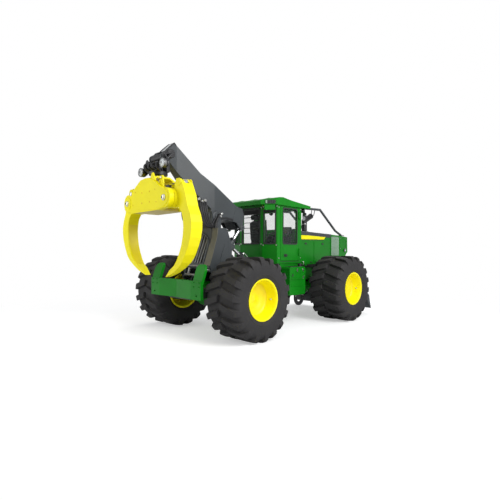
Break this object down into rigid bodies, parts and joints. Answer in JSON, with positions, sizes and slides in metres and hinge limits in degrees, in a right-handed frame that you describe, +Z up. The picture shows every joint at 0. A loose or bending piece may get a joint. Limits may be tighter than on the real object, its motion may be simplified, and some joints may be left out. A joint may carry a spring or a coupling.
{
  "type": "articulated grapple skidder",
  "caption": "Four-wheel articulated logging skidder with a cab, a front blade, and a rear arch and boom that carry a hanging grapple.",
  "frame": {"origin": "on the ground below the articulation axis, midway between the axles and under the middle of the bounding box", "axes": "+X to the front blade, +Y to the left, +Z up"},
  "size_m": [7.3009, 3.76, 4.32],
  "materials": {
    "green_paint": "gloss",
    "charcoal_paint": "satin",
    "black_paint": "satin",
    "yellow_paint": "gloss",
    "tyre": "matte",
    "rod_chrome": "polished",
    "glass": "gloss",
    "cab_trim": "matte",
    "lamp_metal": "satin"
  },
  "bodies": {
    "front": {"front_frame": "green_paint", "front_axle": "green_paint", "hood": "green_paint", "engine_block": "black_paint", "radiator_housing": "green_paint", "side_steps": "green_paint", "cab_shell": "green_paint", "cab_roof": "green_paint", "cab_glass": "glass", "cab_interior": "cab_trim", "exhaust_stack": "black_paint", "brush_guard": "charcoal_paint", "step_loops": "black_paint"},
    "door_left": {"door_left": "green_paint", "door_glass_left": "glass"},
    "door_right": {"door_right": "green_paint", "door_glass_right": "glass"},
    "blade": {"blade": "charcoal_paint"},
    "blade_barrels": {"blade_barrels": "charcoal_paint"},
    "blade_rods": {"blade_rods": "rod_chrome"},
    "rear": {"rear_frame": "charcoal_paint", "rear_axle": "green_paint", "rear_bumper": "green_paint", "winch": "charcoal_paint"},
    "arch": {"arch": "charcoal_paint"},
    "arch_barrels": {"arch_barrels": "charcoal_paint"},
    "arch_rods": {"arch_rods": "rod_chrome"},
    "boom": {"boom": "charcoal_paint", "work_lamps": "lamp_metal"},
    "boom_barrels": {"boom_barrels": "charcoal_paint"},
    "boom_rods": {"boom_rods": "rod_chrome"},
    "crosshead": {"crosshead": "black_paint"},
    "rotator": {"rotator": "black_paint"},
    "grapple_head": {"grapple_head": "yellow_paint"},
    "tong_left": {"tong_left": "yellow_paint"},
    "tong_right": {"tong_right": "yellow_paint"},
    "grapple_barrel": {"grapple_barrel": "yellow_paint"},
    "grapple_rod": {"grapple_rod": "rod_chrome"},
    "steer_barrel_left": {"steer_barrel_left": "black_paint"},
    "steer_rod_left": {"steer_rod_left": "rod_chrome"},
    "steer_barrel_right": {"steer_barrel_right": "black_paint"},
    "steer_rod_right": {"steer_rod_right": "rod_chrome"},
    "wheel_front_left": {"tyre_front_left": "tyre", "rim_front_left": "yellow_paint"},
    "wheel_front_right": {"tyre_front_right": "tyre", "rim_front_right": "yellow_paint"},
    "wheel_rear_left": {"tyre_rear_left": "tyre", "rim_rear_left": "yellow_paint"},
    "wheel_rear_right": {"tyre_rear_right": "tyre", "rim_rear_right": "yellow_paint"}
  },
  "joints": [
    {"name": "articulation", "type": "hinge", "parent": "front", "child": "rear", "pos_m": [0, 0, 1.055], "axis": [0, 0, 1], "range_deg": [-45, 45]},
    {"name": "wheel_front_left_spin", "type": "hinge", "parent": "front", "child": "wheel_front_left", "pos_m": [1.86, 1.39, 0.905], "axis": [0, 1, 0], "continuous": true},
    {"name": "wheel_front_right_spin", "type": "hinge", "parent": "front", "child": "wheel_front_right", "pos_m": [1.86, -1.39, 0.905], "axis": [0, 1, 0], "continuous": true},
    {"name": "wheel_rear_left_spin", "type": "hinge", "parent": "rear", "child": "wheel_rear_left", "pos_m": [-1.86, 1.39, 0.905], "axis": [0, 1, 0], "continuous": true},
    {"name": "wheel_rear_right_spin", "type": "hinge", "parent": "rear", "child": "wheel_rear_right", "pos_m": [-1.86, -1.39, 0.905], "axis": [0, 1, 0], "continuous": true},
    {"name": "door_left_swing", "type": "hinge", "parent": "front", "child": "door_left", "pos_m": [0.704, 0.826, 2.36], "axis": [0, 0, -1], "range_deg": [0, 80]},
    {"name": "door_right_swing", "type": "hinge", "parent": "front", "child": "door_right", "pos_m": [0.704, -0.826, 2.36], "axis": [0, 0, 1], "range_deg": [0, 80]},
    {"name": "arch_tilt", "type": "hinge", "parent": "rear", "child": "arch", "pos_m": [-2.01, 0, 1.15], "axis": [0, -1, 0], "range_deg": [0, 35]},
    {"name": "boom_lift", "type": "hinge", "parent": "arch", "child": "boom", "pos_m": [-1.91, 0, 2.74], "axis": [0, 1, 0], "range_deg": [-45, 0]},
    {"name": "blade_lift", "type": "hinge", "parent": "front", "child": "blade", "pos_m": [2.3, 0, 0.75], "axis": [0, -1, 0], "range_deg": [-6.4, 15]},
    {"name": "crosshead_swing", "type": "hinge", "parent": "boom", "child": "crosshead", "pos_m": [-3.26, 0, 3.93], "axis": [0, 1, 0], "range_deg": [0, 45.01]},
    {"name": "head_sway", "type": "hinge", "parent": "crosshead", "child": "rotator", "pos_m": [-3.26, 0, 3.72], "axis": [-1, 0, 0], "range_deg": [-8, 8]},
    {"name": "rotator_spin", "type": "hinge", "parent": "rotator", "child": "grapple_head", "pos_m": [-3.26, 0, 3.53], "axis": [0, 0, 1], "range_deg": [-11.5, 18.5]},
    {"name": "tong_left_swing", "type": "hinge", "parent": "grapple_head", "child": "tong_left", "pos_m": [-3.21116, 0.79851, 2.98], "axis": [0.9981, -0.061, 0], "range_deg": [-7.5, 45]},
    {"name": "tong_right_swing", "type": "hinge", "parent": "grapple_head", "child": "tong_right", "pos_m": [-3.30884, -0.79851, 2.98], "axis": [-0.9981, 0.061, 0], "range_deg": [-7.51, 45.01]},
    {"name": "grapple_barrel_swing", "type": "hinge", "parent": "tong_left", "child": "grapple_barrel", "pos_m": [-3.19651, 1.03806, 3.28], "axis": [0.9981, -0.061, 0], "range_deg": [-45.01, 7.51]},
    {"name": "grapple_rod_slide", "type": "slide", "parent": "grapple_barrel", "child": "grapple_rod", "axis": [-0.061, -0.9981, 0], "range_m": [-0.54802, 0.0915]},
    {"name": "arch_barrels_swing", "type": "hinge", "parent": "rear", "child": "arch_barrels", "pos_m": [-0.7, 0, 1.43], "axis": [0, 1, 0], "range_deg": [-8.48, 0]},
    {"name": "arch_rods_slide", "type": "slide", "parent": "arch_barrels", "child": "arch_rods", "axis": [-0.8201, 0, 0.5722], "range_m": [0, 0.566]},
    {"name": "boom_barrels_swing", "type": "hinge", "parent": "arch", "child": "boom_barrels", "pos_m": [-1.76, 0, 1.55], "axis": [0, 1, 0], "range_deg": [-16.81, 0]},
    {"name": "boom_rods_slide", "type": "slide", "parent": "boom_barrels", "child": "boom_rods", "axis": [0.6297, 0, 0.7769], "range_m": [0, 0.59656]},
    {"name": "blade_barrels_swing", "type": "hinge", "parent": "front", "child": "blade_barrels", "pos_m": [2.6, 0, 1.4], "axis": [0, 1, 0], "range_deg": [-12.12, 5.18]},
    {"name": "blade_rods_slide", "type": "slide", "parent": "blade_barrels", "child": "blade_rods", "axis": [0.745, 0, -0.6671], "range_m": [-0.18174, 0.07766]},
    {"name": "steer_barrel_left_swing", "type": "hinge", "parent": "front", "child": "steer_barrel_left", "pos_m": [1.15, 0.47, 1], "axis": [0, 0, 1], "range_deg": [-2.31, 2.31]},
    {"name": "steer_rod_left_slide", "type": "slide", "parent": "steer_barrel_left", "child": "steer_rod_left", "axis": [-1, -0.0079, 0], "range_m": [-0.33367, 0.33367]},
    {"name": "steer_barrel_right_swing", "type": "hinge", "parent": "front", "child": "steer_barrel_right", "pos_m": [1.15, -0.47, 1], "axis": [0, 0, 1], "range_deg": [-2.31, 2.31]},
    {"name": "steer_rod_right_slide", "type": "slide", "parent": "steer_barrel_right", "child": "steer_rod_right", "axis": [-1, 0.0079, 0], "range_m": [-0.33367, 0.33367]}
  ],
  "couplings": [
    {"joint": "crosshead_swing", "follows": "boom_lift", "ratio": -1},
    {"joint": "tong_right_swing", "follows": "tong_left_swing", "ratio": 1},
    {"joint": "grapple_barrel_swing", "follows": "tong_left_swing", "ratio": -1},
    {"joint": "grapple_rod_slide", "follows": "tong_left_swing", "m_per_rad": -0.6975},
    {"joint": "arch_barrels_swing", "follows": "arch_tilt", "ratio": -0.24191},
    {"joint": "arch_rods_slide", "follows": "arch_tilt", "m_per_rad": 0.92623},
    {"joint": "boom_barrels_swing", "follows": "boom_lift", "ratio": 0.3733},
    {"joint": "boom_rods_slide", "follows": "boom_lift", "m_per_rad": -0.75931},
    {"joint": "blade_barrels_swing", "follows": "blade_lift", "ratio": -0.80766},
    {"joint": "blade_rods_slide", "follows": "blade_lift", "m_per_rad": -0.69345},
    {"joint": "steer_barrel_left_swing", "follows": "articulation", "ratio": 0.051167},
    {"joint": "steer_rod_left_slide", "follows": "articulation", "m_per_rad": 0.42458},
    {"joint": "steer_barrel_right_swing", "follows": "articulation", "ratio": 0.051167},
    {"joint": "steer_rod_right_slide", "follows": "articulation", "m_per_rad": -0.42458}
  ]
}
